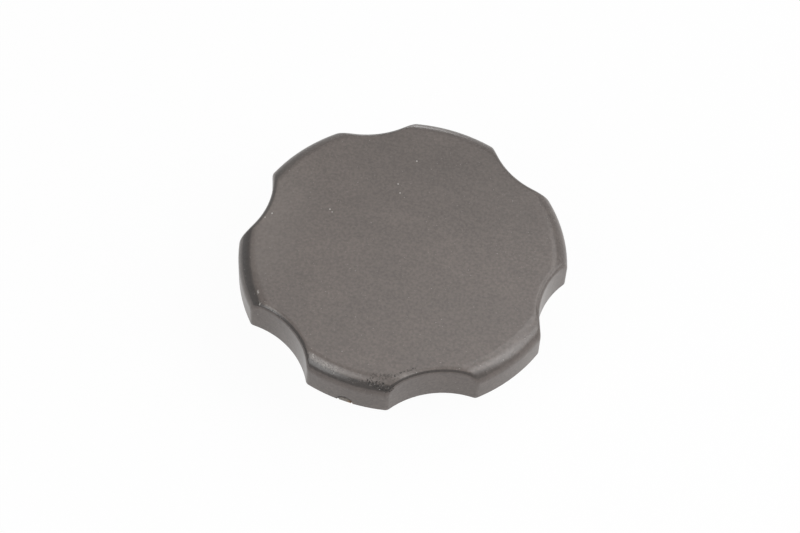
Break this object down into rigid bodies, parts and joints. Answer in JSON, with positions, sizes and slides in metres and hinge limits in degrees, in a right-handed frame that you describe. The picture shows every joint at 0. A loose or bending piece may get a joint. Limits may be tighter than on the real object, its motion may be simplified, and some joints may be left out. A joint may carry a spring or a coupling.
{
  "type": "oil filler cap",
  "caption": "Low round screw cap for an engine's oil filler neck, with a flat top, lobed grip rim, threaded hollow spigot and rubber sealing washer.",
  "frame": {"origin": "on the cap's axis at the open end of the spigot, which is what the cap stands on", "axes": "+Z along the cap's axis, up through the flat top; one lobe of the grip, the one with the gate mark, points along -Y"},
  "size_m": [0.0674, 0.07, 0.024],
  "materials": {
    "moulded_plastic": "fine moulded grain, slightly worn",
    "washer_rubber": "matt"
  },
  "bodies": {
    "root": {"cap_body": "moulded_plastic", "sealing_washer": "washer_rubber"}
  },
  "joints": []
}
